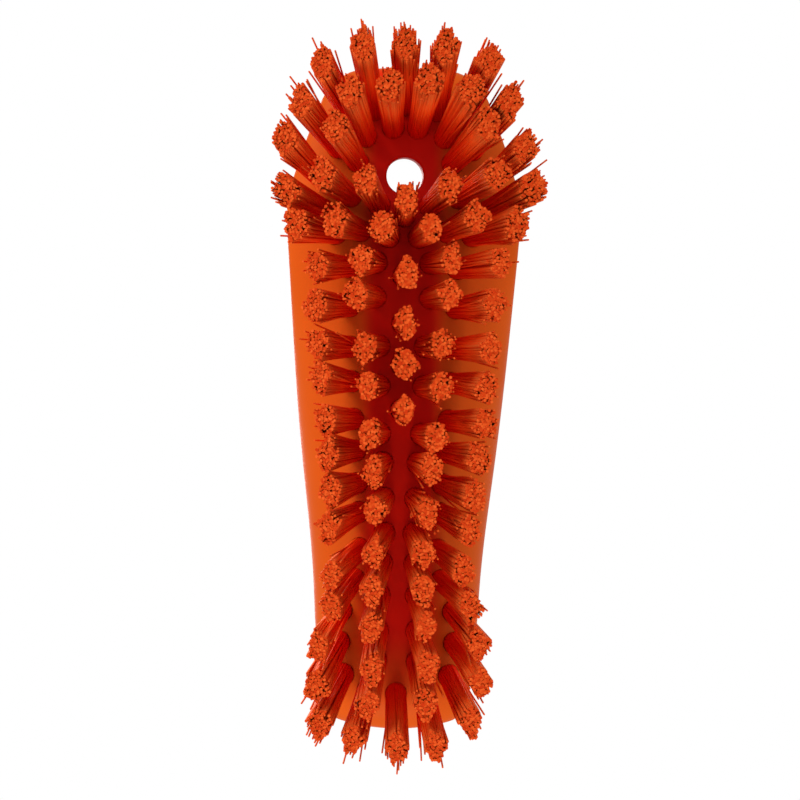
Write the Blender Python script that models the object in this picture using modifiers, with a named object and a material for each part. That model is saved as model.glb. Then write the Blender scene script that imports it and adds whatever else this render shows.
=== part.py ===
"""A hand scrub brush: one moulded block and 85 tufts of stiff bristle.

The brush stands on its bristle tips with +Z up. Its long axis is X, and the wide nose with
the hanging hole points to +X. Both halves beside the XZ plane are alike. The origin is on the
ground, under the middle of the whole brush. Places along the block are shares of half its
length, from -1 at the tail to 1 at the nose, and places across it are shares of its local
half width.
"""

import math

import bmesh
import bpy
from mathutils import Matrix, Vector

MM = 0.001

# Block, seen from below
BLOCK_LENGTH = 180.4 * MM
SHOULDER_WIDTH = 65.3 * MM
NOSE_WIDTH = 40.9 * MM
TAIL_WIDTH = 39.1 * MM
SHOULDER_ROUND = 1.8 * MM
NOSE_CORNER_RADIUS = 7.5 * MM
TAIL_CORNER_RADIUS = 4.5 * MM
NOSE_EDGE_RADIUS = 118.0 * MM
TAIL_EDGE_RADIUS = 54.0 * MM
SIDE_WAVE = 0.43 * MM
SHOULDER_SHARE = 0.593
BOWED_END_SHARE = 0.25
WAVE_END_SHARE = -0.667
WAVE_SKEW = 1.8

# Block, seen from the side
BRISTLE_HEIGHT = 36.0 * MM
NOSE_LIFT = 6.0 * MM
TAIL_LIFT = 4.0 * MM
PLATE_THICKNESS = 12.5 * MM
NOSE_THINNING = 3.0 * MM
GRIP_HEIGHT = 70.0 * MM
TAIL_TOP_DROP = 13.0 * MM
NOSE_EDGE_ROUND = 4.5 * MM
TAIL_EDGE_ROUND = 9.0 * MM
LEVEL_NOSE_SHARE = 0.35
LEVEL_TAIL_SHARE = -0.32
CREST_SHARE = -0.15
PLATE_START_SHARE = 0.56
RIM_SHARE = 0.42
END_FACE_SHARE = 0.35

# Cross-section of the block
BELLY_POWER = 2.6
UPPER_POWER = 2.5
FINGER_GROOVE_DEPTH = 2.2 * MM
GROOVE_ALONG_SHARES = (-0.8, -0.45, 0.05, 0.4)
GROOVE_TOP_SHARE = 0.7
SPAN_STATIONS = 24
END_STATIONS = 4
UNDER_POINTS = 7
UPPER_POINTS = 8

# Hanging hole, and the flat land round it on the top
HANG_HOLE_DIAMETER = 10.0 * MM
HANG_HOLE_SHARE = 0.671
HOLE_CHAMFER = 0.8 * MM
LAND_WIDTH = 4.5 * MM
LAND_DEPTH = 0.5 * MM
HOLE_SIDES = 32

# Tufts
TUFT_ROOT_DIAMETER = 4.6 * MM
SLICE_DEPTH = 3.0 * MM
SLICE_SIDES = 8
CLEARANCE = 0.3 * MM
OVERRUN = 4.0 * MM
TRIM_DEPTH = 0.5 * MM
STRAND_SIDES = 3
STRAND_ROOT_RADIUS = 0.75 * MM
STRAND_TIP_RADIUS = 1.5 * MM
STRAND_EMBED_SHARE = 0.4
ROOT_SPREAD_ALONG = 1.1 * MM
ROOT_SPREAD_ACROSS = 0.85 * MM
TIP_SPREAD_ALONG = 2.8 * MM
TIP_SPREAD_ACROSS = 1.6 * MM
STRAND_PLACES = ((0, 0), (1, 1), (1, -1), (-1, 1), (-1, -1))

# How far the tips stand out from their holes
NOSE_SPLAY_START_SHARE = 0.464
NOSE_SPLAY_SHARE = 1.37
TAIL_SPLAY_START_SHARE = -0.095
TAIL_SPLAY_SHARE = 1.163
SIDE_SPLAY_SHARE = 1.61
NOSE_SIDE_SPLAY_SHARE = 1.48
TAIL_SIDE_SPLAY_SHARE = 1.39
NOSE_SPLAY_CHANGE_SHARES = (0.42, 0.56)
TAIL_SPLAY_CHANGE_SHARES = (-0.44, -0.62)

# Holes of the fan round the nose, each as (along, across), from the front to the shoulder
NOSE_FRONT_SHARES = ((0.885, 0.0),)
NOSE_FAN_SHARES = (
    ((0.87, 0.356), (0.815, 0.13)),
    ((0.844, 0.6), (0.787, 0.4)),
    ((0.752, 0.66), (0.71, 0.443)),
    ((0.646, 0.702), (0.606, 0.463)),
    ((0.566, 0.693),),
    ((0.492, 0.587), (0.502, 0.37)),
)

# Holes behind the hanging hole, and the short row along the middle
NECK_MIDDLE_SHARES = ((0.548, 0.0),)
NECK_SIDE_SHARES = (((0.58, 0.215),), ((0.485, 0.127),))
MIDDLE_ROW_SHARES = (0.368, 0.226, 0.101, -0.035)

# Holes of the inner and outer columns, in pairs across each side from the neck to the tail
SIDE_SHARES = (
    ((0.408, 0.235), (0.393, 0.475)),
    ((0.303, 0.245), (0.274, 0.48)),
    ((0.156, 0.21), (0.152, 0.478)),
    ((0.036, 0.21), (0.048, 0.47)),
    ((-0.107, 0.205), (-0.065, 0.467)),
    ((-0.194, 0.18), (-0.16, 0.457)),
    ((-0.301, 0.17), (-0.257, 0.452)),
    ((-0.406, 0.165), (-0.344, 0.448)),
    ((-0.497, 0.19), (-0.454, 0.452)),
    ((-0.592, 0.22), (-0.546, 0.517)),
    ((-0.699, 0.24), (-0.64, 0.677)),
    ((-0.791, 0.26), (-0.735, 0.72)),
    ((-0.834, 0.687),),
)
TAIL_MIDDLE_SHARES = ((-0.891, 0.0),)
TAIL_SIDE_SHARES = ((-0.884, 0.38),)

WELD_SHARE = 0.05
SHARP_ANGLE = math.radians(40)
BLOCK_COLOUR = (0.77, 0.09, 0.012, 1.0)
BRISTLE_COLOUR = (0.62, 0.045, 0.006, 1.0)
BLOCK_ROUGHNESS = 0.38
BRISTLE_ROUGHNESS = 0.5

HALF_LENGTH = BLOCK_LENGTH / 2
SHOULDER_X = SHOULDER_SHARE * HALF_LENGTH
HANG_HOLE_X = HANG_HOLE_SHARE * HALF_LENGTH
BOWED_END = BOWED_END_SHARE * HALF_LENGTH
WAVE_END = WAVE_END_SHARE * HALF_LENGTH
WELD_DISTANCE = WELD_SHARE * CLEARANCE


def mix(first, second, share):
    return first + (second - first) * share


def ease(share):
    """A smooth rise from 0 to 1 as the share goes from 0 to 1."""
    share = min(max(share, 0.0), 1.0)
    return share * share * (3 - 2 * share)


def rise(share):
    """Zero up to a share of 0, then a parabola that reaches 1 at a share of 1."""
    return max(share, 0.0) ** 2


def smooth_least(first, second, blend):
    """The smaller of two lengths, with the corner where they cross rounded off."""
    return (first + second - math.hypot(first - second, blend)) / 2


def corner_inset(distance, radius):
    """How far a rounded corner draws in the side, at a distance from the end."""
    if distance >= radius:
        return 0.0
    return radius - math.sqrt(max(radius**2 - (radius - distance) ** 2, 0.0))


def side_wave(x):
    """How far the side swells beside the palm, and draws in before the tail."""
    share = (SHOULDER_X - x) / (SHOULDER_X - WAVE_END)
    share = min(max(share, 0.0), 1.0)
    return SIDE_WAVE * math.sin(2 * math.pi * share**WAVE_SKEW)


def half_width(x):
    side = mix(TAIL_WIDTH, SHOULDER_WIDTH, (x + HALF_LENGTH) / (SHOULDER_X + HALF_LENGTH)) / 2
    side += side_wave(x)
    flank = mix(SHOULDER_WIDTH, NOSE_WIDTH, (x - SHOULDER_X) / (HALF_LENGTH - SHOULDER_X)) / 2
    width = smooth_least(side, flank, SHOULDER_ROUND)
    width -= corner_inset(HALF_LENGTH - x, NOSE_CORNER_RADIUS)
    return width - corner_inset(x + HALF_LENGTH, TAIL_CORNER_RADIUS)


def under_height(x):
    """Height of the underside on the middle line."""
    along = x / HALF_LENGTH
    nose = rise((along - LEVEL_NOSE_SHARE) / (1 - LEVEL_NOSE_SHARE))
    tail = rise((along - LEVEL_TAIL_SHARE) / (-1 - LEVEL_TAIL_SHARE))
    return BRISTLE_HEIGHT + NOSE_LIFT * nose + TAIL_LIFT * tail


def top_height(x):
    """Height of the top on the middle line: a thin plate at the nose, then the hump."""
    along = x / HALF_LENGTH
    plate_share = (along - PLATE_START_SHARE) / (1 - PLATE_START_SHARE)
    plate = under_height(x) + PLATE_THICKNESS - NOSE_THINNING * rise(plate_share)
    if along > CREST_SHARE:
        climb = ease((PLATE_START_SHARE - along) / (PLATE_START_SHARE - CREST_SHARE))
        return mix(plate, GRIP_HEIGHT, climb)
    return GRIP_HEIGHT - TAIL_TOP_DROP * rise((CREST_SHARE - along) / (CREST_SHARE + 1))


def rim_height(x):
    """Height of the widest line of the block."""
    return mix(under_height(x), top_height(x), RIM_SHARE)


def underside(x, y):
    """Height of the underside, which curves up from its flat middle to the rim."""
    outward = min(abs(y) / half_width(x), 1.0)
    curve = 1 - math.sqrt(1 - outward**BELLY_POWER)
    return mix(under_height(x), rim_height(x), curve)


def groove_inset(x, turn_share):
    """Depth of the finger groove above the rim."""
    start, full, fade, end = GROOVE_ALONG_SHARES
    along = x / HALF_LENGTH
    strength = ease((along - start) / (full - start)) * ease((end - along) / (end - fade))
    around = math.sin(math.pi * min(turn_share / GROOVE_TOP_SHARE, 1.0)) ** 2
    return FINGER_GROOVE_DEPTH * strength * around


def end_fullness(x):
    """Share of the block's thickness that is left where its end edges are rounded."""
    edge_round = NOSE_EDGE_ROUND if x > 0 else TAIL_EDGE_ROUND
    share = min((HALF_LENGTH - abs(x)) / edge_round, 1.0)
    return mix(END_FACE_SHARE, 1.0, math.sqrt(max(1 - (1 - share) ** 2, 0.0)))


def bow(x, y):
    """How far the bowed ends draw a point of the section back from its station."""
    nose = ease((x - HALF_LENGTH + BOWED_END) / BOWED_END) / NOSE_EDGE_RADIUS
    tail = ease((BOWED_END - HALF_LENGTH - x) / BOWED_END) / TAIL_EDGE_RADIUS
    return (tail - nose) * y**2 / 2


def half_section(x):
    """Points of the section at x, from the bottom round the rim to the top."""
    width = half_width(x)
    rim = rim_height(x)
    fullness = end_fullness(x)
    points = []
    for step in range(UNDER_POINTS):
        y = width * math.sin(math.pi / 2 * step / UNDER_POINTS)
        points.append((y, underside(x, y)))
    for step in range(UPPER_POINTS + 1):
        turn_share = step / UPPER_POINTS
        turn = math.pi / 2 * turn_share
        level = math.sin(turn) ** (2 / UPPER_POWER)
        inward = math.cos(turn) ** (2 / UPPER_POWER)
        y = (width - groove_inset(x, turn_share)) * inward
        points.append((y, mix(rim, top_height(x), level)))
    return [Vector((x + bow(x, y), y, mix(rim, z, fullness))) for y, z in points]


def station_places():
    """Where the block's sections stand, closer together over its rounded ends."""
    tail = TAIL_EDGE_ROUND - HALF_LENGTH
    nose = HALF_LENGTH - NOSE_EDGE_ROUND
    span = [mix(tail, nose, step / SPAN_STATIONS) for step in range(SPAN_STATIONS + 1)]
    turns = [math.sin(math.pi / 2 * step / END_STATIONS) for step in range(1, END_STATIONS + 1)]
    tail_end = [tail - TAIL_EDGE_ROUND * turn for turn in reversed(turns)]
    return tail_end + span + [nose + NOSE_EDGE_ROUND * turn for turn in turns]


def material(name, colour, roughness):
    made = bpy.data.materials.new(name)
    made.use_nodes = True
    shader = made.node_tree.nodes["Principled BSDF"]
    shader.inputs["Base Color"].default_value = colour
    shader.inputs["Roughness"].default_value = roughness
    shader.inputs["Metallic"].default_value = 0.0
    made.diffuse_color = colour
    return made


def place(name, mesh_data, collection, parent):
    """A new object of this mesh, in a collection and under the empty that centres the brush."""
    mesh = bpy.data.meshes.new(name)
    mesh_data.normal_update()
    mesh_data.to_mesh(mesh)
    mesh_data.free()
    made = bpy.data.objects.new(name, mesh)
    made.parent = parent
    collection.objects.link(made)
    return made


def place_cutter(name, mesh_data, collection, parent):
    cutter = place(name, mesh_data, collection, parent)
    cutter.hide_render = True
    cutter.display_type = "WIRE"
    return cutter


def boolean(piece, operation, cutter=None, collection=None):
    modifier = piece.modifiers.new(operation.lower(), "BOOLEAN")
    modifier.operation = operation
    modifier.solver = "EXACT"
    if collection:
        modifier.operand_type = "COLLECTION"
        modifier.collection = collection
    else:
        modifier.object = cutter


def block_half():
    """One half of the block, open at the XZ plane: a loft through its unlike sections."""
    mesh = bmesh.new()
    rings = [[mesh.verts.new(point) for point in half_section(x)] for x in station_places()]
    for ring, following in zip(rings, rings[1:]):
        for near, far in zip(range(len(ring)), range(1, len(ring))):
            mesh.faces.new((ring[near], following[near], following[far], ring[far]))
    mesh.faces.new(rings[0])
    mesh.faces.new(reversed(rings[-1]))
    return mesh


def hang_hole_cutter():
    """The hanging hole, its chamfer, and the shallow flat land round its top end."""
    mesh = bmesh.new()
    radius = HANG_HOLE_DIAMETER / 2
    land_height = top_height(HANG_HOLE_X) - LAND_DEPTH
    bottom = under_height(HANG_HOLE_X) - OVERRUN
    top = land_height + OVERRUN
    profile = (
        (radius, bottom),
        (radius, land_height - HOLE_CHAMFER),
        (radius + HOLE_CHAMFER, land_height),
        (radius + LAND_WIDTH, land_height),
        (radius + LAND_WIDTH, top),
    )
    outline = [mesh.verts.new((0, 0, bottom))]
    outline += [mesh.verts.new((wide, 0, height)) for wide, height in profile]
    outline.append(mesh.verts.new((0, 0, top)))
    edges = [mesh.edges.new(pair) for pair in zip(outline, outline[1:])]
    bmesh.ops.spin(
        mesh,
        geom=outline + edges,
        axis=(0, 0, 1),
        cent=(0, 0, 0),
        angle=2 * math.pi,
        steps=HOLE_SIDES,
        use_merge=True,
    )
    bmesh.ops.remove_doubles(mesh, verts=mesh.verts, dist=WELD_DISTANCE)
    bmesh.ops.recalc_face_normals(mesh, faces=mesh.faces)
    bmesh.ops.translate(mesh, vec=(HANG_HOLE_X, 0, 0), verts=mesh.verts)
    return mesh


def hole_place(share, side):
    """Mouth of a tuft's hole on the underside."""
    along, across = share
    x = along * HALF_LENGTH
    y = side * across * half_width(x)
    return Vector((x, y, underside(x, y)))


def side_splay(along):
    """How many times further out than their holes the tips stand, at a share of half the length."""
    first, last = NOSE_SPLAY_CHANGE_SHARES
    splay = mix(SIDE_SPLAY_SHARE, NOSE_SIDE_SPLAY_SHARE, ease((along - first) / (last - first)))
    first, last = TAIL_SPLAY_CHANGE_SHARES
    return mix(splay, TAIL_SIDE_SPLAY_SHARE, ease((along - first) / (last - first)))


def tip_place(hole):
    """Middle of a tuft's tips, where the trimmed length would end."""
    nose_start = NOSE_SPLAY_START_SHARE * HALF_LENGTH
    tail_start = TAIL_SPLAY_START_SHARE * HALF_LENGTH
    x = hole.x
    if x > nose_start:
        x = mix(nose_start, x, NOSE_SPLAY_SHARE)
    if x < tail_start:
        x = mix(tail_start, x, TAIL_SPLAY_SHARE)
    return Vector((x, hole.y * side_splay(hole.x / HALF_LENGTH), -TRIM_DEPTH))


def tuft_frame(hole):
    """A frame at a tuft's hole, with Z up the hole and X as near the brush's length as can be."""
    up = (hole - tip_place(hole)).normalized()
    along = (Vector((1, 0, 0)) - up * up.x).normalized()
    turned = Matrix((along, up.cross(along), up)).transposed().to_4x4()
    return Matrix.Translation(hole) @ turned


def slice_body(holes, radius, above, below):
    """The slice of the block that a node's tufts are set in, as the hull of its round ends."""
    mesh = bmesh.new()
    for hole in holes:
        lift = Matrix.Translation((0, 0, (above - below) / 2))
        bmesh.ops.create_cone(
            mesh,
            cap_ends=True,
            segments=SLICE_SIDES,
            radius1=radius,
            radius2=radius,
            depth=above + below,
            matrix=tuft_frame(hole) @ lift,
        )
    if len(holes) > 1:
        bmesh.ops.delete(mesh, geom=mesh.faces[:], context="FACES_ONLY")
        hull = bmesh.ops.convex_hull(mesh, input=mesh.verts[:])
        bmesh.ops.delete(mesh, geom=hull["geom_interior"], context="VERTS")
    bmesh.ops.recalc_face_normals(mesh, faces=mesh.faces)
    return mesh


def add_strand(mesh, root, tip):
    """A straight strand with flat sides, thicker at its tip, where its filaments spread."""
    reach = tip - root
    along = reach.normalized()
    across = (Vector((1, 0, 0)) - along * along.x).normalized()
    turned = Matrix((across, along.cross(across), along)).transposed().to_4x4()
    bmesh.ops.create_cone(
        mesh,
        cap_ends=True,
        segments=STRAND_SIDES,
        radius1=STRAND_ROOT_RADIUS,
        radius2=STRAND_TIP_RADIUS,
        depth=reach.length,
        matrix=Matrix.Translation((root + tip) / 2) @ turned,
    )


def strands(holes):
    """The strands of these tufts, trimmed flat on the ground."""
    mesh = bmesh.new()
    for hole in holes:
        frame = tuft_frame(hole)
        tip = tip_place(hole)
        for along, across in STRAND_PLACES:
            offset = (along * ROOT_SPREAD_ALONG, across * ROOT_SPREAD_ACROSS)
            root = frame @ Vector((*offset, STRAND_EMBED_SHARE * SLICE_DEPTH))
            spread = Vector((along * TIP_SPREAD_ALONG, across * TIP_SPREAD_ACROSS, 0))
            add_strand(mesh, root, tip + spread)
    everything = mesh.verts[:] + mesh.edges[:] + mesh.faces[:]
    cut = bmesh.ops.bisect_plane(
        mesh, geom=everything, plane_co=(0, 0, 0), plane_no=(0, 0, 1), clear_inner=True
    )
    edges = [piece for piece in cut["geom_cut"] if isinstance(piece, bmesh.types.BMEdge)]
    bmesh.ops.holes_fill(mesh, edges=edges, sides=0)
    bmesh.ops.recalc_face_normals(mesh, faces=mesh.faces)
    return mesh


def tuft_groups():
    """The name of each tuft node with the shares and the side of its holes."""
    groups = [("nose_tuft_front", NOSE_FRONT_SHARES, 1)]
    groups.append(("neck_tuft_middle", NECK_MIDDLE_SHARES, 1))
    groups.append(("tail_tuft_middle", TAIL_MIDDLE_SHARES, 1))
    for number, along in enumerate(MIDDLE_ROW_SHARES, 1):
        groups.append((f"middle_tuft_{number:02d}", ((along, 0.0),), 1))
    for side_name, side in (("left", 1), ("right", -1)):
        groups.append((f"tail_tuft_{side_name}", TAIL_SIDE_SHARES, side))
        for kind, table in (
            ("nose_tufts", NOSE_FAN_SHARES),
            ("neck_tuft", NECK_SIDE_SHARES),
            ("side_tufts", SIDE_SHARES),
        ):
            for number, shares in enumerate(table, 1):
                groups.append((f"{kind}_{side_name}_{number:02d}", shares, side))
    return groups


def make_tufts(parts, cutters, pockets, parent, finish):
    """Each tuft node: a slice of the block with its strands, and the pocket it sits in."""
    radius = TUFT_ROOT_DIAMETER / 2
    for name, shares, side in tuft_groups():
        holes = [hole_place(share, side) for share in shares]
        piece = place(name, slice_body(holes, radius, SLICE_DEPTH, 0.0), parts, parent)
        joined = place_cutter(name + "_strands", strands(holes), cutters, parent)
        boolean(piece, "UNION", cutter=joined)
        piece.data.materials.append(finish)
        joined.data.materials.append(finish)
        pocket = slice_body(holes, radius + CLEARANCE, SLICE_DEPTH + CLEARANCE, OVERRUN)
        place_cutter(name + "_pocket", pocket, pockets, parent)


def make_block(parts, cutters, pockets, parent, finish):
    block = place("block", block_half(), parts, parent)
    block.data.materials.append(finish)
    mirror = block.modifiers.new("mirror", "MIRROR")
    mirror.use_axis = (False, True, False)
    mirror.merge_threshold = WELD_DISTANCE
    hole = place_cutter("hang_hole", hang_hole_cutter(), cutters, parent)
    boolean(block, "DIFFERENCE", cutter=hole)
    boolean(block, "DIFFERENCE", collection=pockets)
    block.data.shade_smooth()
    block.data.set_sharp_from_angle(angle=SHARP_ANGLE)


def middle_of_tips():
    """The place along X that lies midway between the foremost and the rearmost tips."""
    front = tip_place(hole_place(NOSE_FRONT_SHARES[0], 1))
    rear = tip_place(hole_place(TAIL_MIDDLE_SHARES[0], 1))
    return (front.x + rear.x) / 2


def new_collection(name):
    made = bpy.data.collections.new(name)
    bpy.context.scene.collection.children.link(made)
    return made


def main():
    for old in list(bpy.data.objects):
        bpy.data.objects.remove(old, do_unlink=True)
    parts = new_collection("scrub_brush")
    cutters = new_collection("cutters")
    pockets = new_collection("pockets")
    centre = bpy.data.objects.new("brush", None)
    centre.location.x = -middle_of_tips()
    parts.objects.link(centre)
    block_finish = material("block_plastic", BLOCK_COLOUR, BLOCK_ROUGHNESS)
    bristle_finish = material("bristle", BRISTLE_COLOUR, BRISTLE_ROUGHNESS)
    make_tufts(parts, cutters, pockets, centre, bristle_finish)
    make_block(parts, cutters, pockets, centre, block_finish)


main()
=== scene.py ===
"""The looks of the hand scrub brush: its moulded block and its filaments.

The brush stands on its tips with +Z up and its wide nose towards +X. The photograph shows it
from straight below with the nose up, against white. Places along the block are shares of half
its length, and places across it are shares of its local half width, as in the frame's solids.
"""

import math
import random

import bmesh
import bpy
from mathutils import Matrix, Vector, noise


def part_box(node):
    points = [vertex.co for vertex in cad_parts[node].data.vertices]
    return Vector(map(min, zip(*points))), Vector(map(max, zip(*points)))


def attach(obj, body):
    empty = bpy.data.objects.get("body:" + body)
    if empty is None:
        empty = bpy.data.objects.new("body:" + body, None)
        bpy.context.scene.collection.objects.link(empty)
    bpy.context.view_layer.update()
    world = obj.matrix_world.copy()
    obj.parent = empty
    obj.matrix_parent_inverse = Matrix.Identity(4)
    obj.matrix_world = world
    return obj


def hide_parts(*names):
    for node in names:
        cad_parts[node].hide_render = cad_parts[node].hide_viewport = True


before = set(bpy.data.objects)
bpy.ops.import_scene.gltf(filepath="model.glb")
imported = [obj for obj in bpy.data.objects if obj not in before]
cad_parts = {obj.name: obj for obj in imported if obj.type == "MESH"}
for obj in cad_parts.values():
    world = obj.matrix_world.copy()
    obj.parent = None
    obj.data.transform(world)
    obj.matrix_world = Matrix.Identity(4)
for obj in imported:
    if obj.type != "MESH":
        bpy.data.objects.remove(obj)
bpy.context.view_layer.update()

MM = 0.001
SEED = 7

# Camera, from the photograph
IMAGE_SIDE = 800
TIP_PIXELS_PER_MM = 3.77
CAMERA_DISTANCE = 1500.0 * MM
CAMERA_AIM = (-1.37 * MM, -1.35 * MM, 0.0)
CAMERA_TURN = math.radians(1.6)
CAMERA_ROLL = math.radians(1.0)
SENSOR_WIDTH_MM = 36.0
CLIP_FACTOR = 10

# Block, as its solid has it
BLOCK_LENGTH = 180.4 * MM
SHOULDER_WIDTH = 65.3 * MM
NOSE_WIDTH = 40.9 * MM
TAIL_WIDTH = 39.1 * MM
SHOULDER_ROUND = 1.8 * MM
NOSE_CORNER_RADIUS = 7.5 * MM
TAIL_CORNER_RADIUS = 4.5 * MM
NOSE_EDGE_RADIUS = 118.0 * MM
TAIL_EDGE_RADIUS = 54.0 * MM
SIDE_WAVE = 0.43 * MM
SHOULDER_SHARE = 0.593
BOWED_END_SHARE = 0.25
WAVE_END_SHARE = -0.667
WAVE_SKEW = 1.8
BRISTLE_HEIGHT = 36.0 * MM
NOSE_LIFT = 6.0 * MM
TAIL_LIFT = 4.0 * MM
PLATE_THICKNESS = 12.5 * MM
NOSE_THINNING = 3.0 * MM
GRIP_HEIGHT = 70.0 * MM
TAIL_TOP_DROP = 13.0 * MM
NOSE_EDGE_ROUND = 4.5 * MM
TAIL_EDGE_ROUND = 9.0 * MM
LEVEL_NOSE_SHARE = 0.35
LEVEL_TAIL_SHARE = -0.32
CREST_SHARE = -0.15
PLATE_START_SHARE = 0.56
RIM_SHARE = 0.42
END_FACE_SHARE = 0.35
BELLY_POWER = 2.6
UPPER_POWER = 2.5
FINGER_GROOVE_DEPTH = 2.2 * MM
GROOVE_ALONG_SHARES = (-0.8, -0.45, 0.05, 0.4)
GROOVE_TOP_SHARE = 0.7
HANG_HOLE_DIAMETER = 10.0 * MM
HANG_HOLE_SHARE = 0.671
LAND_WIDTH = 4.5 * MM
LAND_DEPTH = 0.5 * MM

# Finer steps of the block's surface
SPAN_STATIONS = 150
END_STATIONS = 12
UNDER_POINTS = 26
UPPER_POINTS = 34
END_RING_SHARES = (0.8, 0.6, 0.4, 0.2)
EDGE_ROUND = 0.8 * MM
ARC_STEPS = 6
HANG_HOLE_SIDES = 96
TUFT_HOLE_SIDES = 28
OVERRUN = 4.0 * MM
SHARP_ANGLE = math.radians(35)

# Tuft holes
TUFT_HOLE_DIAMETER = 6.0 * MM
TUFT_HOLE_DEPTH = 7.0 * MM
TUFT_MOUTH_ROUND = 0.2 * MM

# Filaments
FILAMENT_DIAMETER = 0.5 * MM
END_DIAMETERS = (0.76 * MM, 0.92 * MM)
FILAMENT_SIDES = 6
FILAMENT_PITCH = 0.43 * MM
BEND_SHARES = (0.35, 0.7)
STIFF_ROOT_SHARE = 0.15
TIP_SPREAD_ALONG = 4.5 * MM
TIP_SPREAD_ACROSS = 3.2 * MM
NOSE_SPREAD_ALONG = 5.0 * MM
NOSE_SPREAD_ACROSS = 3.6 * MM
TIP_JITTER = 0.08 * MM
TIP_NARROWING = 0.4
CLUMP_SIZE = 2.2 * MM
CLUMP_SHIFT = 1.8 * MM
CLUMP_SEEDS = 800
STRAY_SHARE = 0.45
STRAY_SIDEWAYS = 1.05 * MM
LONG_SHARE = 0.01
END_LONG_SHARE = 0.07
LONG_BY = (0.6 * MM, 2.8 * MM)
FAN_START = 48.0 * MM
TAIL_START = -70.0 * MM
MIDDLE_ENDS = (-64.0 * MM, 56.0 * MM)
NEIGHBOUR_REACH = 16.0 * MM
NEIGHBOUR_SIDE = 0.6
WIDEST_TIP = 36.5 * MM
TRIM_RAGGEDNESS = 0.35 * MM
SHORT_SHARE = 0.05
SHORT_BY = 2.0 * MM
TIP_LEVEL = 0.6 * MM
TIP_CLEARANCE = 0.2 * MM

# How open to the outside a filament of an outermost tuft is in its middle, and what its side
# adds; open filaments get less of the filaments' painted shade
OPEN_AT_MIDDLE = 0.3
OPEN_AT_SIDE = 1.2

# Materials, with colours as (place, colour)
BLOCK_COLOURS = ((0.3, (0.55, 0.075, 0.003)), (0.7, (0.60, 0.085, 0.005)))
BLOCK_GLOSS = 0.055
BLOCK_ROUGHNESS = (0.4, 0.52)
# Filaments inside the tufts, with painted shade and red bounce light: deeper red towards the
# block, paler orange towards the tips
INNER_PAINTED_SHADE_COLOURS = (
    (0.0, (0.95, 0.170, 0.028)),
    (0.3, (0.97, 0.105, 0.010)),
    (0.65, (0.98, 0.048, 0.003)),
    (1.0, (0.98, 0.018, 0.001)),
)
# Filaments on the brush's outside: their plainer colour, with a milder painted shade towards the
# block
OUTER_COLOURS = ((0.0, (0.80, 0.140, 0.018)), (1.0, (0.80, 0.080, 0.004)))
END_COLOURS = (
    (0.0, (0.45, 0.025, 0.002)),
    (0.5, (0.54, 0.050, 0.005)),
    (1.0, (0.65, 0.087, 0.013)),
)
COLOUR_SPREAD = 0.3
FILAMENT_GLOSS = 0.04
FILAMENT_ROUGHNESS = (0.6, 0.75)
# Name of the points' attribute with each filament's share of the painted shade
PAINTED_SHADE_ATTRIBUTE = "painted_shade_share"

# Painted shade of the block among its tufts: a deep red that stands for the shade and red bounce
# light there, each with the places where it is full and gone
PAINTED_SHADE_COLOURS = ((0.3, (0.66, 0.006, 0.0005)), (0.7, (0.72, 0.009, 0.001)))
PAINTED_SHADE_ACROSS = (7.0 * MM, 13.0 * MM)
PAINTED_SHADE_ALONG = (-62.0 * MM, -86.0 * MM)
PAINTED_SHADE_HEIGHT = (41.0 * MM, 46.0 * MM)

# Noise of the materials, as (size, detail), and their bumps, as (depth, strength)
FLOW_NOISE = (30.0 * MM, 3)
PATCH_NOISE = (6.0 * MM, 4)
GRAIN_NOISE = (0.35 * MM, 2)
GRAIN_BUMP = (0.02 * MM, 0.5)
RIPPLE_NOISE = (12.0 * MM, 1)
RIPPLE_BUMP = (0.2 * MM, 0.3)
SHADE_NOISE = (2.0 * MM, 2)
SCRATCH_NOISE = (0.2 * MM, 1)
SCRATCH_BUMP = (0.01 * MM, 0.4)

# Stage and light, with each lamp as (name, place, size, power)
FLOOR_SIZE = 6.0
FLOOR_CELLS = 4
FLOOR_DROP = 0.1 * MM
FLOOR_COLOUR = (0.86, 0.86, 0.86)
FLOOR_ROUGHNESS = 0.8
WORLD_LIGHT = 0.84
LAMPS = (
    ("key_lamp", (0.85, -0.85, -0.75), 0.7, 10.5),
    ("fill_lamp", (-1.0, -0.05, -0.85), 0.7, 9.0),
    ("top_lamp", (0.35, -0.5, 1.2), 0.8, 12.0),
)

# Mouths of the tuft holes, each as shares (along, across), from the nose back to the tail.
# The tables of the nose, neck, sides and tail serve both sides of the block.
NOSE_FRONT_SHARES = ((0.885, 0.0),)
NOSE_FAN_SHARES = (
    ((0.87, 0.356), (0.815, 0.13)),
    ((0.844, 0.6), (0.787, 0.4)),
    ((0.752, 0.66), (0.71, 0.443)),
    ((0.646, 0.702), (0.606, 0.463)),
    ((0.566, 0.693),),
    ((0.492, 0.587), (0.502, 0.37)),
)
NECK_MIDDLE_SHARES = ((0.548, 0.0),)
NECK_SIDE_SHARES = (((0.58, 0.215),), ((0.485, 0.127),))
MIDDLE_ROW_SHARES = (((0.368, 0.0),), ((0.226, 0.0),), ((0.101, 0.0),), ((-0.035, 0.0),))
SIDE_SHARES = (
    ((0.408, 0.235), (0.393, 0.475)),
    ((0.303, 0.245), (0.274, 0.48)),
    ((0.156, 0.21), (0.152, 0.478)),
    ((0.036, 0.21), (0.048, 0.47)),
    ((-0.107, 0.205), (-0.065, 0.467)),
    ((-0.194, 0.18), (-0.16, 0.457)),
    ((-0.301, 0.17), (-0.257, 0.452)),
    ((-0.406, 0.165), (-0.344, 0.448)),
    ((-0.497, 0.19), (-0.454, 0.452)),
    ((-0.592, 0.22), (-0.546, 0.517)),
    ((-0.699, 0.24), (-0.64, 0.677)),
    ((-0.791, 0.26), (-0.735, 0.72)),
    ((-0.834, 0.687),),
)
TAIL_MIDDLE_SHARES = ((-0.891, 0.0),)
TAIL_SIDE_SHARES = ((-0.884, 0.38),)

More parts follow.
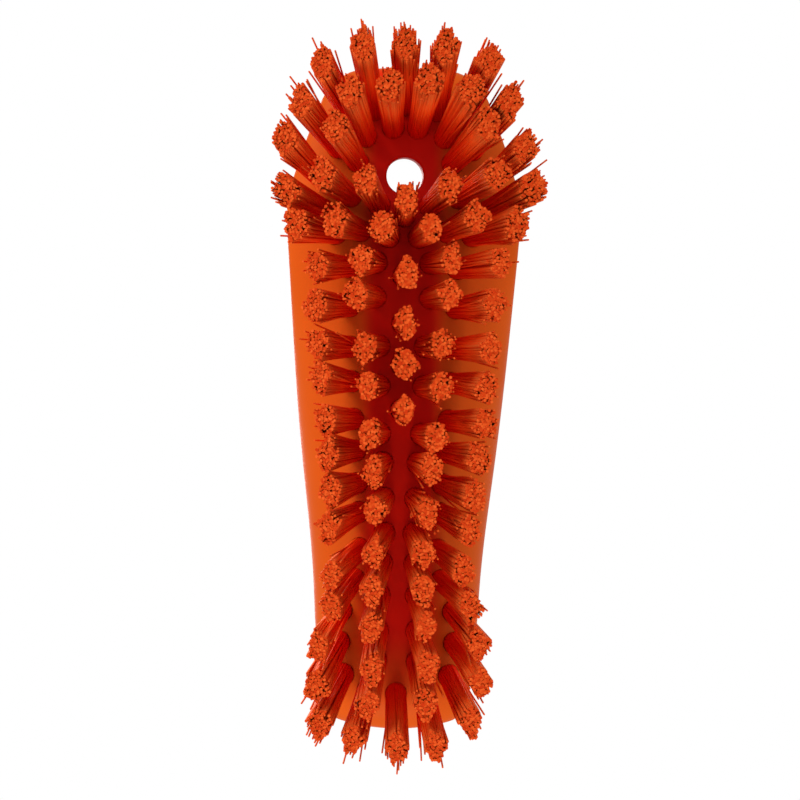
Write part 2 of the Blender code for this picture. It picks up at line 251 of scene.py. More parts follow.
# Middle of each tuft's tips, as (right, down) in the photograph, in the order of the holes
NOSE_FRONT_TIPS = ((405, 43),)
NOSE_LEFT_TIPS = (
    ((446, 45), (430, 79)),
    ((490, 60), (471, 91)),
    ((511, 101), (489, 125)),
    ((524, 146), (497, 173)),
    ((534, 187),),
    ((518, 224), (477, 217)),
)
NOSE_RIGHT_TIPS = (
    ((364, 44), (390, 85)),
    ((322, 64), (350, 91)),
    ((302, 102), (335, 127)),
    ((286, 139), (323, 174)),
    ((286, 189),),
    ((296, 225), (335, 220)),
)
NECK_MIDDLE_TIPS = ((407, 199),)
NECK_LEFT_TIPS = (((450, 185),), ((431, 228),))
NECK_RIGHT_TIPS = (((367, 180),), ((382, 225),))
MIDDLE_ROW_TIPS = (((408, 273),), ((406, 323),), ((405, 364),), ((405, 410),))
SIDE_LEFT_TIPS = (
    ((452, 260), (501, 264)),
    ((450, 295), (495, 305)),
    ((442, 345), (491, 349)),
    ((441, 386), (487, 388)),
    ((437, 438), (485, 424)),
    ((432, 469), (479, 459)),
    ((428, 514), (475, 498)),
    ((424, 553), (470, 531)),
    ((424, 589), (464, 571)),
    ((426, 626), (470, 608)),
    ((428, 668), (479, 644)),
    ((427, 705), (481, 682)),
    ((471, 721),),
)
SIDE_RIGHT_TIPS = (
    ((361, 260), (317, 266)),
    ((357, 295), (314, 305)),
    ((365, 347), (317, 345)),
    ((367, 386), (321, 376)),
    ((369, 434), (325, 418)),
    ((373, 471), (327, 453)),
    ((375, 510), (329, 492)),
    ((374, 553), (329, 527)),
    ((372, 591), (331, 575)),
    ((371, 628), (331, 608)),
    ((373, 670), (319, 648)),
    ((368, 705), (315, 686)),
    ((319, 725),),
)
TAIL_MIDDLE_TIPS = ((396, 749),)
TAIL_LEFT_TIPS = ((435, 747),)
TAIL_RIGHT_TIPS = ((353, 741),)

HALF_LENGTH = BLOCK_LENGTH / 2
SHOULDER_X = SHOULDER_SHARE * HALF_LENGTH
HANG_HOLE_X = HANG_HOLE_SHARE * HALF_LENGTH
BOWED_END = BOWED_END_SHARE * HALF_LENGTH
WAVE_END = WAVE_END_SHARE * HALF_LENGTH
BLOCK_LOW, BLOCK_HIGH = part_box("block")
BLOCK_MIDDLE = Vector(((BLOCK_LOW.x + BLOCK_HIGH.x) / 2, 0, 0))


# Shape of the block


def mix(first, second, share):
    return first + (second - first) * share


def ease(share):
    """A smooth rise from 0 to 1 as the share goes from 0 to 1."""
    share = min(max(share, 0.0), 1.0)
    return share * share * (3 - 2 * share)


def rise(share):
    """Zero up to a share of 0, then a parabola that reaches 1 at a share of 1."""
    return max(share, 0.0) ** 2


def smooth_least(first, second, blend):
    """The smaller of two lengths, with the corner where they cross rounded off."""
    return (first + second - math.hypot(first - second, blend)) / 2


def corner_inset(distance, radius):
    """How far a rounded corner draws in the side, at a distance from the end."""
    if distance >= radius:
        return 0.0
    return radius - math.sqrt(max(radius**2 - (radius - distance) ** 2, 0.0))


def side_wave(x):
    """How far the side swells beside the palm, and draws in before the tail."""
    share = (SHOULDER_X - x) / (SHOULDER_X - WAVE_END)
    share = min(max(share, 0.0), 1.0)
    return SIDE_WAVE * math.sin(2 * math.pi * share**WAVE_SKEW)


def half_width(x):
    side = mix(TAIL_WIDTH, SHOULDER_WIDTH, (x + HALF_LENGTH) / (SHOULDER_X + HALF_LENGTH)) / 2
    side += side_wave(x)
    flank = mix(SHOULDER_WIDTH, NOSE_WIDTH, (x - SHOULDER_X) / (HALF_LENGTH - SHOULDER_X)) / 2
    width = smooth_least(side, flank, SHOULDER_ROUND)
    width -= corner_inset(HALF_LENGTH - x, NOSE_CORNER_RADIUS)
    return width - corner_inset(x + HALF_LENGTH, TAIL_CORNER_RADIUS)


def under_height(x):
    """Height of the underside on the middle line."""
    along = x / HALF_LENGTH
    nose = rise((along - LEVEL_NOSE_SHARE) / (1 - LEVEL_NOSE_SHARE))
    tail = rise((along - LEVEL_TAIL_SHARE) / (-1 - LEVEL_TAIL_SHARE))
    return BRISTLE_HEIGHT + NOSE_LIFT * nose + TAIL_LIFT * tail


def top_height(x):
    """Height of the top on the middle line: a thin plate at the nose, then the hump."""
    along = x / HALF_LENGTH
    plate_share = (along - PLATE_START_SHARE) / (1 - PLATE_START_SHARE)
    plate = under_height(x) + PLATE_THICKNESS - NOSE_THINNING * rise(plate_share)
    if along > CREST_SHARE:
        climb = ease((PLATE_START_SHARE - along) / (PLATE_START_SHARE - CREST_SHARE))
        return mix(plate, GRIP_HEIGHT, climb)
    return GRIP_HEIGHT - TAIL_TOP_DROP * rise((CREST_SHARE - along) / (CREST_SHARE + 1))


def rim_height(x):
    """Height of the widest line of the block."""
    return mix(under_height(x), top_height(x), RIM_SHARE)


def underside(x, y):
    """Height of the underside, which curves up from its flat middle to the rim."""
    outward = min(abs(y) / half_width(x), 1.0)
    curve = 1 - math.sqrt(1 - outward**BELLY_POWER)
    return mix(under_height(x), rim_height(x), curve)


def groove_inset(x, turn_share):
    """Depth of the finger groove above the rim."""
    start, full, fade, end = GROOVE_ALONG_SHARES
    along = x / HALF_LENGTH
    strength = ease((along - start) / (full - start)) * ease((end - along) / (end - fade))
    around = math.sin(math.pi * min(turn_share / GROOVE_TOP_SHARE, 1.0)) ** 2
    return FINGER_GROOVE_DEPTH * strength * around


def end_fullness(x):
    """Share of the block's thickness that is left where its end edges are rounded."""
    edge_round = NOSE_EDGE_ROUND if x > 0 else TAIL_EDGE_ROUND
    share = min((HALF_LENGTH - abs(x)) / edge_round, 1.0)
    return mix(END_FACE_SHARE, 1.0, math.sqrt(max(1 - (1 - share) ** 2, 0.0)))


def bow(x, y):
    """How far the bowed ends draw a point of the section back from its station."""
    nose = ease((x - HALF_LENGTH + BOWED_END) / BOWED_END) / NOSE_EDGE_RADIUS
    tail = ease((BOWED_END - HALF_LENGTH - x) / BOWED_END) / TAIL_EDGE_RADIUS
    return (tail - nose) * y**2 / 2


def section(x):
    """(y, height) of the points right round the section at x, from the bottom's middle."""
    width = half_width(x)
    rim = rim_height(x)
    half = []
    for step in range(UNDER_POINTS):
        y = width * math.sin(math.pi / 2 * step / UNDER_POINTS)
        half.append((y, underside(x, y)))
    for step in range(UPPER_POINTS + 1):
        turn_share = step / UPPER_POINTS
        turn = math.pi / 2 * turn_share
        level = math.sin(turn) ** (2 / UPPER_POWER)
        inward = max(math.cos(turn), 0.0) ** (2 / UPPER_POWER)
        y = (width - groove_inset(x, turn_share)) * inward
        half.append((y, mix(rim, top_height(x), level)))
    other = [(-y, z) for y, z in reversed(half[1:-1])]
    fullness = end_fullness(x)
    return [(y, mix(rim, z, fullness)) for y, z in half + other]


def section_ring(mesh, x, share=1.0):
    """The points of a section, or of a smaller one inside it that closes an end."""
    middle = rim_height(x)
    ring = []
    for y, z in section(x):
        across = y * share
        place = Vector((x + bow(x, across), across, mix(middle, z, share)))
        ring.append(mesh.verts.new(place + BLOCK_MIDDLE))
    return ring


def station_places():
    """Where the block's sections stand, closer together over its rounded ends."""
    tail = TAIL_EDGE_ROUND - HALF_LENGTH
    nose = HALF_LENGTH - NOSE_EDGE_ROUND
    span = [mix(tail, nose, step / SPAN_STATIONS) for step in range(SPAN_STATIONS + 1)]
    turns = [math.sin(math.pi / 2 * step / END_STATIONS) for step in range(1, END_STATIONS + 1)]
    tail_end = [tail - TAIL_EDGE_ROUND * turn for turn in reversed(turns)]
    return tail_end + span + [nose + NOSE_EDGE_ROUND * turn for turn in turns]


def join_rings(mesh, ring, following):
    count = len(ring)
    for near in range(count):
        far = (near + 1) % count
        mesh.faces.new((ring[near], following[near], following[far], ring[far]))


def close_end(mesh, ring, x, outward):
    """Smaller and smaller rings on the block's end face, down to a last small face."""
    for share in END_RING_SHARES:
        inner = section_ring(mesh, x, share)
        first, second = (ring, inner) if outward else (inner, ring)
        join_rings(mesh, first, second)
        ring = inner
    mesh.faces.new(reversed(ring) if outward else ring)


def block_surface():
    mesh = bmesh.new()
    stations = station_places()
    rings = [section_ring(mesh, x) for x in stations]
    for ring, following in zip(rings, rings[1:]):
        join_rings(mesh, ring, following)
    close_end(mesh, rings[-1], stations[-1], True)
    close_end(mesh, rings[0], stations[0], False)
    bmesh.ops.recalc_face_normals(mesh, faces=mesh.faces)
    return mesh


def new_object(name, mesh_data):
    mesh = bpy.data.meshes.new(name)
    mesh_data.to_mesh(mesh)
    mesh_data.free()
    made = bpy.data.objects.new(name, mesh)
    bpy.context.scene.collection.objects.link(made)
    return made


# Holes of the block


def arc(centre, radius, first_turn, last_turn):
    """(wide, height) of points on an arc."""
    points = []
    for step in range(ARC_STEPS + 1):
        turn = mix(first_turn, last_turn, step / ARC_STEPS)
        wide = centre[0] + radius * math.cos(turn)
        points.append((wide, centre[1] + radius * math.sin(turn)))
    return points


def add_lathe(mesh, profile, sides, place):
    """Adds a turned solid: flat at its two ends, with this profile of (wide, height) between."""
    rings = []
    for wide, height in profile:
        ring = []
        for step in range(sides):
            turn = 2 * math.pi * step / sides
            point = Vector((wide * math.cos(turn), wide * math.sin(turn), height))
            ring.append(mesh.verts.new(place @ point))
        rings.append(ring)
    for ring, following in zip(rings, rings[1:]):
        join_rings(mesh, ring, following)
    mesh.faces.new(rings[0])
    mesh.faces.new(reversed(rings[-1]))


def mouth_profile(radius, edge_round, top):
    """A bore that starts below a surface at height 0 and has a rounded mouth there."""
    flare = arc((radius + edge_round, edge_round), edge_round, -math.pi / 2, -math.pi)
    return [(radius + edge_round, -OVERRUN), *flare, (radius, top)]


def land_profile():
    """The hanging hole's upper mouth, rounded where it meets the flat land."""
    radius = HANG_HOLE_DIAMETER / 2
    edge = radius + EDGE_ROUND
    flare = arc((edge, -EDGE_ROUND), EDGE_ROUND, math.pi, math.pi / 2)
    wide = radius + LAND_WIDTH
    return [(radius, -PLATE_THICKNESS / 2), *flare, (wide, 0.0), (wide, OVERRUN)]


def upright_frame(place, up):
    """A frame at a place, with Z along up and X as near the brush's length as can be."""
    along = (Vector((1, 0, 0)) - up * up.x).normalized()
    turned = Matrix((along, up.cross(along), up)).transposed().to_4x4()
    return Matrix.Translation(place) @ turned


def under_normal(x):
    """The way into the block from its underside's middle line."""
    step = BLOCK_LENGTH / SPAN_STATIONS
    slope = (under_height(x + step) - under_height(x - step)) / (2 * step)
    return Vector((-slope, 0, 1)).normalized()


def hang_hole_cutters():
    radius = HANG_HOLE_DIAMETER / 2
    below = Vector((HANG_HOLE_X, 0, under_height(HANG_HOLE_X))) + BLOCK_MIDDLE
    land = Vector((HANG_HOLE_X, 0, top_height(HANG_HOLE_X) - LAND_DEPTH)) + BLOCK_MIDDLE
    lower = bmesh.new()
    upward = upright_frame(below, under_normal(HANG_HOLE_X))
    profile = mouth_profile(radius, EDGE_ROUND, PLATE_THICKNESS / 3)
    add_lathe(lower, profile, HANG_HOLE_SIDES, upward)
    bore = bmesh.new()
    straight = [(radius, -PLATE_THICKNESS), (radius, PLATE_THICKNESS)]
    add_lathe(bore, straight, HANG_HOLE_SIDES, Matrix.Translation(mix(below, land, 0.5)))
    upper = bmesh.new()
    add_lathe(upper, land_profile(), HANG_HOLE_SIDES, Matrix.Translation(land))
    return [lower, bore, upper]


def tuft_hole_cutter(tufts):
    mesh = bmesh.new()
    profile = mouth_profile(TUFT_HOLE_DIAMETER / 2, TUFT_MOUTH_ROUND, TUFT_HOLE_DEPTH)
    for hole, tip in tufts:
        add_lathe(mesh, profile, TUFT_HOLE_SIDES, upright_frame(hole, (hole - tip).normalized()))
    return mesh


def cut(piece, mesh_data):
    """Cuts a shape out of a piece, and leaves the result in the piece's own mesh."""
    bmesh.ops.recalc_face_normals(mesh_data, faces=mesh_data.faces)
    cutter = new_object("cutter", mesh_data)
    modifier = piece.modifiers.new("cut", "BOOLEAN")
    modifier.operation = "DIFFERENCE"
    modifier.solver = "EXACT"
    modifier.object = cutter
    graph = bpy.context.evaluated_depsgraph_get()
    result = bpy.data.meshes.new_from_object(piece.evaluated_get(graph))
    piece.modifiers.clear()
    piece.data = result
    bpy.data.objects.remove(cutter, do_unlink=True)


def make_block(tufts):
    block = new_object("block_moulding", block_surface())
    for cutter in [*hang_hole_cutters(), tuft_hole_cutter(tufts)]:
        cut(block, cutter)
    block.data.shade_smooth()
    block.data.set_sharp_from_angle(angle=SHARP_ANGLE)
    return block


# Places of the tufts


def camera_axes():
    """The camera's right, up and forward. It looks up from under the brush with the nose up."""
    forward = Vector((0, math.sin(CAMERA_TURN), math.cos(CAMERA_TURN)))
    level = forward.cross(Vector((1, 0, 0)))
    nose = level.cross(forward)
    right = math.cos(CAMERA_ROLL) * level + math.sin(CAMERA_ROLL) * nose
    up = math.cos(CAMERA_ROLL) * nose - math.sin(CAMERA_ROLL) * level
    return right, up, forward


def camera_place():
    return Vector(CAMERA_AIM) - camera_axes()[2] * CAMERA_DISTANCE


def seen_place(seen, height):
    """The place at this height that the camera sees at a point of the image."""
    right, up, forward = camera_axes()
    focal = TIP_PIXELS_PER_MM / MM * CAMERA_DISTANCE
    across = (seen[0] - IMAGE_SIDE / 2) / focal
    along = (IMAGE_SIDE / 2 - seen[1]) / focal
    ray = forward + right * across + up * along
    eye = camera_place()
    return eye + ray * ((height - eye.z) / ray.z)


def hole_place(share, side):
    """Mouth of a tuft's hole on the underside."""
    along, across = share
    x = along * HALF_LENGTH
    y = side * across * half_width(x)
    return Vector((x, y, underside(x, y))) + BLOCK_MIDDLE


def tuft_rows():
    """(node, hole shares, side, tips in the image) of each tuft node of the frame."""
    rows = [
        ("nose_tuft_front", NOSE_FRONT_SHARES, 1, NOSE_FRONT_TIPS),
        ("neck_tuft_middle", NECK_MIDDLE_SHARES, 1, NECK_MIDDLE_TIPS),
        ("tail_tuft_middle", TAIL_MIDDLE_SHARES, 1, TAIL_MIDDLE_TIPS),
        ("tail_tuft_left", TAIL_SIDE_SHARES, 1, TAIL_LEFT_TIPS),
        ("tail_tuft_right", TAIL_SIDE_SHARES, -1, TAIL_RIGHT_TIPS),
    ]
    for kind, side, table, seen_tips in (
        ("middle_tuft", 1, MIDDLE_ROW_SHARES, MIDDLE_ROW_TIPS),
        ("nose_tufts_left", 1, NOSE_FAN_SHARES, NOSE_LEFT_TIPS),
        ("nose_tufts_right", -1, NOSE_FAN_SHARES, NOSE_RIGHT_TIPS),
        ("neck_tuft_left", 1, NECK_SIDE_SHARES, NECK_LEFT_TIPS),
        ("neck_tuft_right", -1, NECK_SIDE_SHARES, NECK_RIGHT_TIPS),
        ("side_tufts_left", 1, SIDE_SHARES, SIDE_LEFT_TIPS),
        ("side_tufts_right", -1, SIDE_SHARES, SIDE_RIGHT_TIPS),
    ):
        for number, (shares, seen) in enumerate(zip(table, seen_tips), 1):
            rows.append((f"{kind}_{number:02d}", shares, side, seen))
    return rows


def lean_way(hole, tip):
    """The level way in which a tuft leans, which is outward."""
    return Vector((tip.x - hole.x, tip.y - hole.y, 0)).normalized()


def outward_way(hole):
    """The level way from the line along the brush's middle to a hole."""
    low, high = MIDDLE_ENDS
    return Vector((hole.x - min(max(hole.x, low), high), hole.y, 0)).normalized()


def is_outermost(hole, holes):
    """Whether a tuft has no neighbour further out."""
    outward = outward_way(hole)
    for other in holes:
        way = other - hole
        if 0 < way.length < NEIGHBOUR_REACH and way.normalized().dot(outward) > NEIGHBOUR_SIDE:
            return False
    return outward.length > 0


def node_tufts():
    """{node: [(mouth of the hole, middle of the tips)]} for each tuft node."""
    found = {}
    for node, shares, side, seen_tips in tuft_rows():
        holes = [hole_place(share, side) for share in shares]
        tips = [seen_place(seen, TIP_LEVEL) for seen in seen_tips]
        found[node] = list(zip(holes, tips))
    return found


# Filaments


def packed_places(radius, pitch):
    """Places of filaments packed in rows of a round hole."""
    row_step = pitch * math.sqrt(3) / 2
    rows = int(radius / row_step)
    places = []
    for row in range(-rows, rows + 1):
        start = pitch / 2 * (row % 2)
        columns = int(radius / pitch) + 1
        for column in range(-columns, columns + 1):
            place = (start + column * pitch, row * row_step)
            if math.hypot(*place) <= radius:
                places.append(place)
    return places


def edge_share(root):
    """0 for a filament in the middle of its hole, and 1 for one at the hole's wall."""
    return math.hypot(*root) / (TUFT_HOLE_DIAMETER / 2)


def tip_shift(root, spread, seed, draw):
    """How far a filament's tip lies from the middle of its tuft's tips, which end in points."""
    along, across = root
    reach = TUFT_HOLE_DIAMETER / 2
    wide = spread[1] * (1 - TIP_NARROWING * (along / reach) ** 2)
    at = Vector((along / CLUMP_SIZE, across / CLUMP_SIZE, seed))
    clump = noise.noise_vector(at) * CLUMP_SHIFT * edge_share(root) ** 2
    x = along / reach * spread[0] + clump.x + draw.gauss(0, TIP_JITTER)
    y = across / reach * wide + clump.y + draw.gauss(0, TIP_JITTER)
    return Vector((x, y, 0))


def stray_shift(hole, tip, root, draw):
    """How far a tip strays: a little to any side at the tuft's edge, or further outward.

    The fans at the brush's two ends have the most of those that stray outward.
    """
    shift = Vector((0, 0, 0))
    in_fan = hole.x > FAN_START or hole.x < TAIL_START
    if draw.random() < STRAY_SHARE * edge_share(root) ** 2:
        turn = draw.uniform(0, 2 * math.pi)
        shift += Vector((math.cos(turn), math.sin(turn), 0)) * draw.gauss(0, STRAY_SIDEWAYS)
    if draw.random() < (END_LONG_SHARE if in_fan else LONG_SHARE):
        shift += lean_way(hole, tip) * draw.uniform(*LONG_BY)
    return shift


def filament_line(hole, tip, root, spread, seed, draw):
    """Points along one filament, from inside its hole to its cut end, and its end's diameter."""
    place = upright_frame(hole, (hole - tip).normalized())
    inside = place @ Vector((*root, TUFT_HOLE_DEPTH / 2))
    mouth = place @ Vector((*root, 0))
    stray = stray_shift(hole, tip, root, draw)
    end = tip + tip_shift(root, spread, seed, draw) + stray
    end.y = min(max(end.y, -WIDEST_TIP), WIDEST_TIP)
    short = abs(draw.gauss(0, TRIM_RAGGEDNESS))
    if draw.random() < SHORT_SHARE:
        short += draw.uniform(0, SHORT_BY)
    end = mix(end, mouth, (short + TIP_CLEARANCE - TIP_LEVEL) / (mouth.z - end.z))
    stiff = mouth + (mouth - inside).normalized() * ((end - mouth).length * STIFF_ROOT_SHARE)
    line = [inside, mouth]
    for share in (*BEND_SHARES, 1.0):
        line.append(mix(mix(mouth, stiff, share), mix(stiff, end, share), share))
    return line, FILAMENT_DIAMETER if stray.length else draw.uniform(*END_DIAMETERS)


def add_tube(points, faces, ends, line, end_diameter):
    """Adds the points and sides of a round filament along a line, and its cut end."""
    first = len(points)
    for index, centre in enumerate(line):
        before = line[max(index - 1, 0)]
        after = line[min(index + 1, len(line) - 1)]
        ring = upright_frame(centre, (before - after).normalized())
        grown = max(index - 1, 0) / (len(line) - 2)
        diameter = mix(FILAMENT_DIAMETER, end_diameter, grown)
        for step in range(FILAMENT_SIDES):
            turn = 2 * math.pi * step / FILAMENT_SIDES
            wide = Vector((math.cos(turn), math.sin(turn), 0)) * diameter / 2
            points.append(ring @ wide)
    for index in range(len(line) - 1):
        low = first + index * FILAMENT_SIDES
        for step in range(FILAMENT_SIDES):
            turned = (step + 1) % FILAMENT_SIDES
            high = low + FILAMENT_SIDES
            faces.append((low + step, high + step, high + turned, low + turned))
            ends.append(False)
    last = first + (len(line) - 1) * FILAMENT_SIDES
    faces.append(tuple(last + step for step in range(FILAMENT_SIDES)))
    ends.append(True)
    faces.append(tuple(first + step for step in reversed(range(FILAMENT_SIDES))))
    ends.append(False)


def painted_shade_share(hole, tip, root):
    """Share of painted shade: 1 for a filament inside an outermost tuft, down to 0 for one on the
    brush's outside.
    """
    place = upright_frame(hole, (hole - tip).normalized())
    outward = (place @ Vector((*root, 0)) - hole).dot(outward_way(hole))
    return 1 - ease(OPEN_AT_MIDDLE + OPEN_AT_SIDE * outward / (TUFT_HOLE_DIAMETER / 2))


def filament_piece(name, points, faces, ends, hidden):
    """One piece of filaments, whose cut ends are flat faces with the second material."""
    mesh = bpy.data.meshes.new(name)
    mesh.from_pydata(points, [], faces)
    mesh.polygons.foreach_set("material_index", [int(end) for end in ends])
    mesh.polygons.foreach_set("use_smooth", [not end for end in ends])
    # Each point's share of the filaments' painted shade
    mesh.attributes.new(PAINTED_SHADE_ATTRIBUTE, "FLOAT", "POINT").data.foreach_set("value", hidden)
    made = bpy.data.objects.new(name, mesh)
    bpy.context.scene.collection.objects.link(made)
    return made


def make_tufts(node, tufts, number, holes):
    """All filaments of a node's tufts, given the holes of every tuft of the brush."""
    draw = random.Random(SEED + number)
    points = []
    faces = []
    ends = []
    hidden = []
    roots = packed_places((TUFT_HOLE_DIAMETER - FILAMENT_DIAMETER) / 2, FILAMENT_PITCH)
    spread = (TIP_SPREAD_ALONG, TIP_SPREAD_ACROSS)
    if node.startswith("nose"):
        spread = (NOSE_SPREAD_ALONG, NOSE_SPREAD_ACROSS)
    for hole, tip in tufts:
        seed = draw.uniform(0, CLUMP_SEEDS)
        outermost = is_outermost(hole, holes)
        for root in roots:
            add_tube(points, faces, ends, *filament_line(hole, tip, root, spread, seed, draw))
            # Filaments of inner tufts get the full painted shade
            share = painted_shade_share(hole, tip, root) if outermost else 1.0
            hidden.extend([share] * (len(points) - len(hidden)))
    return filament_piece(node + "_filaments", points, faces, ends, hidden)


# Materials


def new_material(name):
    """A new material, its node tree and its shader."""
    made = bpy.data.materials.new(name)
    made.use_nodes = True
    tree = made.node_tree
    return made, tree, tree.nodes["Principled BSDF"]


def add_noise(tree, size, detail):
    """A noise texture whose features are about this size."""
    source = tree.nodes.new("ShaderNodeTexCoord")
    texture = tree.nodes.new("ShaderNodeTexNoise")
    texture.inputs["Scale"].default_value = 1 / size
    texture.inputs["Detail"].default_value = detail
    tree.links.new(source.outputs["Object"], texture.inputs["Vector"])
    return texture.outputs["Fac"]


def add_ramp(tree, value, stops):
    """Colours at places from 0 to 1 of a value."""
    ramp = tree.nodes.new("ShaderNodeValToRGB")
    elements = ramp.color_ramp.elements
    elements[0].position, elements[0].color = stops[0][0], (*stops[0][1], 1)
    elements[1].position, elements[1].color = stops[-1][0], (*stops[-1][1], 1)
    for place, colour in stops[1:-1]:
        elements.new(place).color = (*colour, 1)
    tree.links.new(value, ramp.inputs["Fac"])
    return ramp.outputs["Color"]


def add_range(tree, value, low, high):
    """A value from 0 to 1 spread between two others."""
    spread = tree.nodes.new("ShaderNodeMapRange")
    spread.inputs["To Min"].default_value = low
    spread.inputs["To Max"].default_value = high
    tree.links.new(value, spread.inputs["Value"])
    return spread.outputs["Result"]


def add_bump(tree, shader, height, depth, strength, normal=None):
    """A bump on a shader, on top of another bump where there is one."""
    bump = tree.nodes.new("ShaderNodeBump")
    bump.inputs["Distance"].default_value = depth
    bump.inputs["Strength"].default_value = strength
    tree.links.new(height, bump.inputs["Height"])
    if normal:
        tree.links.new(normal, bump.inputs["Normal"])
    tree.links.new(bump.outputs["Normal"], shader.inputs["Normal"])
    return bump.outputs["Normal"]


def object_axis(tree, axis):
    """Places along one axis of the piece, in metres."""
    source = tree.nodes.new("ShaderNodeTexCoord")
    parts = tree.nodes.new("ShaderNodeSeparateXYZ")
    tree.links.new(source.outputs["Object"], parts.inputs["Vector"])
    return parts.outputs[axis]


def add_math(tree, operation, *values):
    """The result of an operation on values, any of which may be a plain number."""
    node = tree.nodes.new("ShaderNodeMath")
    node.operation = operation
    for socket, value in zip(node.inputs, values):
        if isinstance(value, float):
            socket.default_value = value
        else:
            tree.links.new(value, socket)
    return node.outputs["Value"]


def add_fade(tree, value, full, none):
    """1 where a value is at its full place or beyond, and 0 at the other place or beyond."""
    fade = tree.nodes.new("ShaderNodeMapRange")
    fade.interpolation_type = "SMOOTHSTEP"
    fade.inputs["From Min"].default_value = full
    fade.inputs["From Max"].default_value = none
    fade.inputs["To Min"].default_value = 1.0
    fade.inputs["To Max"].default_value = 0.0
    tree.links.new(value, fade.inputs["Value"])
    return fade.outputs["Result"]


def add_blend(tree, share, first, second):
    """A colour between two others."""
    blend = tree.nodes.new("ShaderNodeMix")
    blend.data_type = "RGBA"
    tree.links.new(share, blend.inputs["Factor"])
    tree.links.new(first, blend.inputs["A"])
    tree.links.new(second, blend.inputs["B"])
    return blend.outputs["Result"]


def block_material():
    """Orange plastic, with painted shade on its underside among the tufts, where the colour turns
    a deeper red.
    """
    made, tree, shader = new_material("moulded_plastic")
    shader.inputs["Specular IOR Level"].default_value = BLOCK_GLOSS
    flow = add_noise(tree, *FLOW_NOISE)
    # Mask of the painted shade: near the middle line, low on the underside and short of the tail
    # end
    across = add_math(tree, "ABSOLUTE", object_axis(tree, "Y"))
    among = add_fade(tree, across, *PAINTED_SHADE_ACROSS)
    under = add_fade(tree, object_axis(tree, "Z"), *PAINTED_SHADE_HEIGHT)
    before_tail = add_fade(tree, object_axis(tree, "X"), *PAINTED_SHADE_ALONG)
    painted_shade = add_math(tree, "MULTIPLY", add_math(tree, "MULTIPLY", among, under), before_tail)
    plain = add_ramp(tree, flow, BLOCK_COLOURS)
    colour = add_blend(tree, painted_shade, plain, add_ramp(tree, flow, PAINTED_SHADE_COLOURS))
    tree.links.new(colour, shader.inputs["Base Color"])
    roughness = add_range(tree, add_noise(tree, *PATCH_NOISE), *BLOCK_ROUGHNESS)
    tree.links.new(roughness, shader.inputs["Roughness"])
    grain = add_noise(tree, *GRAIN_NOISE)
    ripples = add_noise(tree, *RIPPLE_NOISE)
    fine = add_bump(tree, shader, grain, *GRAIN_BUMP)
    add_bump(tree, shader, ripples, *RIPPLE_BUMP, fine)
    return made


def filament_shader(name):
    """A filament's material without its colour, and a value of its own for each filament."""
    made, tree, shader = new_material(name)
    shader.inputs["Specular IOR Level"].default_value = FILAMENT_GLOSS
    roughness = add_range(tree, add_noise(tree, *SHADE_NOISE), *FILAMENT_ROUGHNESS)
    tree.links.new(roughness, shader.inputs["Roughness"])
    add_bump(tree, shader, add_noise(tree, *SCRATCH_NOISE), *SCRATCH_BUMP)
    geometry = tree.nodes.new("ShaderNodeNewGeometry")
    return made, tree, shader, geometry.outputs["Random Per Island"]


def shaft_material():
    """The filaments' sides, deeper in colour towards the block and paler at the tips: painted
    shade and red bounce light.

    The filaments on the brush's outside have plainer colours with less painted shade, through the
    points' attribute.
    """
    made, tree, shader, each = filament_shader("filament")
    # Height over the tips, which sets the painted shade along each filament
    height = add_math(tree, "DIVIDE", object_axis(tree, "Z"), BRISTLE_HEIGHT)
    change = add_math(tree, "MULTIPLY", add_math(tree, "SUBTRACT", each, 0.5), COLOUR_SPREAD)
    place = add_math(tree, "ADD", height, change)
    hidden = tree.nodes.new("ShaderNodeAttribute")
    hidden.attribute_name = PAINTED_SHADE_ATTRIBUTE
    # Outer filaments get the plainer colours, inner ones the full painted shade
    outer = add_ramp(tree, place, OUTER_COLOURS)
    inner = add_ramp(tree, place, INNER_PAINTED_SHADE_COLOURS)
    colour = add_blend(tree, hidden.outputs["Fac"], outer, inner)
    tree.links.new(colour, shader.inputs["Base Color"])
    return made


def end_material():
    """The filaments' cut ends, each with its own shade."""
    made, tree, shader, each = filament_shader("filament_end")
    tree.links.new(add_ramp(tree, each, END_COLOURS), shader.inputs["Base Color"])
    return made


# Stage, light and camera


def floor_material():
    """A pale floor for the eye that looks from above. Light, and the view from below, pass it."""
    made, tree, shader = new_material("pale_floor")
    shader.inputs["Base Color"].default_value = (*FLOOR_COLOUR, 1)
    shader.inputs["Roughness"].default_value = FLOOR_ROUGHNESS
    path = tree.nodes.new("ShaderNodeLightPath")
    geometry = tree.nodes.new("ShaderNodeNewGeometry")
    above = tree.nodes.new("ShaderNodeMath")
    above.operation = "SUBTRACT"
    above.use_clamp = True
    tree.links.new(path.outputs["Is Camera Ray"], above.inputs[0])
    tree.links.new(geometry.outputs["Backfacing"], above.inputs[1])
    clear = tree.nodes.new("ShaderNodeBsdfTransparent")
    blend = tree.nodes.new("ShaderNodeMixShader")
    tree.links.new(above.outputs["Value"], blend.inputs["Fac"])
    tree.links.new(clear.outputs["BSDF"], blend.inputs[1])
    tree.links.new(shader.outputs["BSDF"], blend.inputs[2])
    tree.links.new(blend.outputs["Shader"], tree.nodes["Material Output"].inputs["Surface"])
    return made


def make_floor():
    mesh = bmesh.new()
    bmesh.ops.create_grid(
        mesh,
        x_segments=FLOOR_CELLS,
        y_segments=FLOOR_CELLS,
        size=FLOOR_SIZE / 2,
        matrix=Matrix.Translation((0, 0, -FLOOR_DROP)),
    )
    floor = new_object("floor", mesh)
    floor.data.materials.append(floor_material())


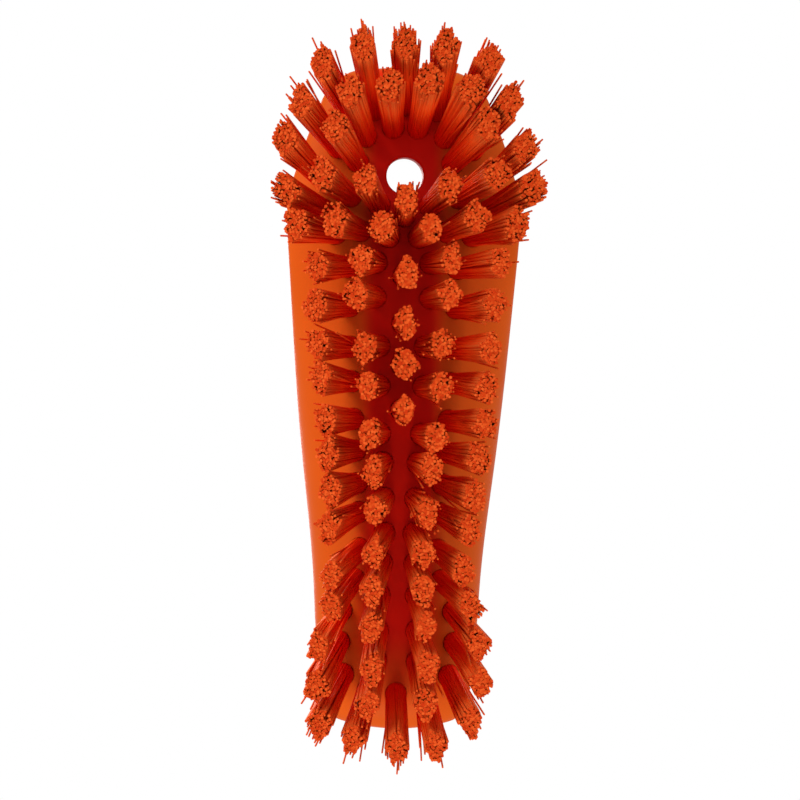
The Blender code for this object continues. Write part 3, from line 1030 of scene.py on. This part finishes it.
def make_world():
    """A white backdrop that lights the brush with less than what the camera sees."""
    world = bpy.data.worlds.new("studio")
    bpy.context.scene.world = world
    world.use_nodes = True
    tree = world.node_tree
    background = tree.nodes["Background"]
    background.inputs["Color"].default_value = (1, 1, 1, 1)
    path = tree.nodes.new("ShaderNodeLightPath")
    seen = path.outputs["Is Camera Ray"]
    for other in ("Is Glossy Ray", "Is Transmission Ray"):
        either = tree.nodes.new("ShaderNodeMath")
        either.operation = "MAXIMUM"
        tree.links.new(seen, either.inputs[0])
        tree.links.new(path.outputs[other], either.inputs[1])
        seen = either.outputs["Value"]
    strength = tree.nodes.new("ShaderNodeMapRange")
    strength.inputs["To Min"].default_value = WORLD_LIGHT
    tree.links.new(seen, strength.inputs["Value"])
    tree.links.new(strength.outputs["Result"], background.inputs["Strength"])


def make_lamps():
    target = Vector((0, 0, BRISTLE_HEIGHT))
    for name, place, size, power in LAMPS:
        data = bpy.data.lights.new(name, "AREA")
        data.size = size
        data.energy = power
        lamp = bpy.data.objects.new(name, data)
        lamp.location = place
        lamp.rotation_euler = (target - lamp.location).to_track_quat("-Z", "Y").to_euler()
        bpy.context.scene.collection.objects.link(lamp)


def make_camera():
    right, up, forward = camera_axes()
    data = bpy.data.cameras.new("camera")
    data.sensor_width = SENSOR_WIDTH_MM
    data.lens = SENSOR_WIDTH_MM * TIP_PIXELS_PER_MM * CAMERA_DISTANCE / MM / IMAGE_SIDE
    data.clip_start = CAMERA_DISTANCE / CLIP_FACTOR
    data.clip_end = CAMERA_DISTANCE * CLIP_FACTOR
    camera = bpy.data.objects.new("camera", data)
    turned = Matrix((right, up, -forward)).transposed().to_4x4()
    camera.matrix_world = Matrix.Translation(camera_place()) @ turned
    bpy.context.scene.collection.objects.link(camera)
    bpy.context.scene.camera = camera


def main():
    noise.seed_set(SEED)  # otherwise the clock is its seed
    make_camera()
    make_world()
    make_lamps()
    make_floor()
    tufts = node_tufts()
    every_tuft = [tuft for found in tufts.values() for tuft in found]
    holes = [tuft[0] for tuft in every_tuft]
    block = make_block(every_tuft)
    block.data.materials.append(block_material())
    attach(block, "root")
    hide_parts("block")
    shafts = shaft_material()
    ends = end_material()
    for number, node in enumerate(tufts):
        piece = make_tufts(node, tufts[node], number, holes)
        piece.data.materials.append(shafts)
        piece.data.materials.append(ends)
        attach(piece, "root")
        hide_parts(node)
    bpy.context.scene.view_settings.view_transform = "Standard"


main()
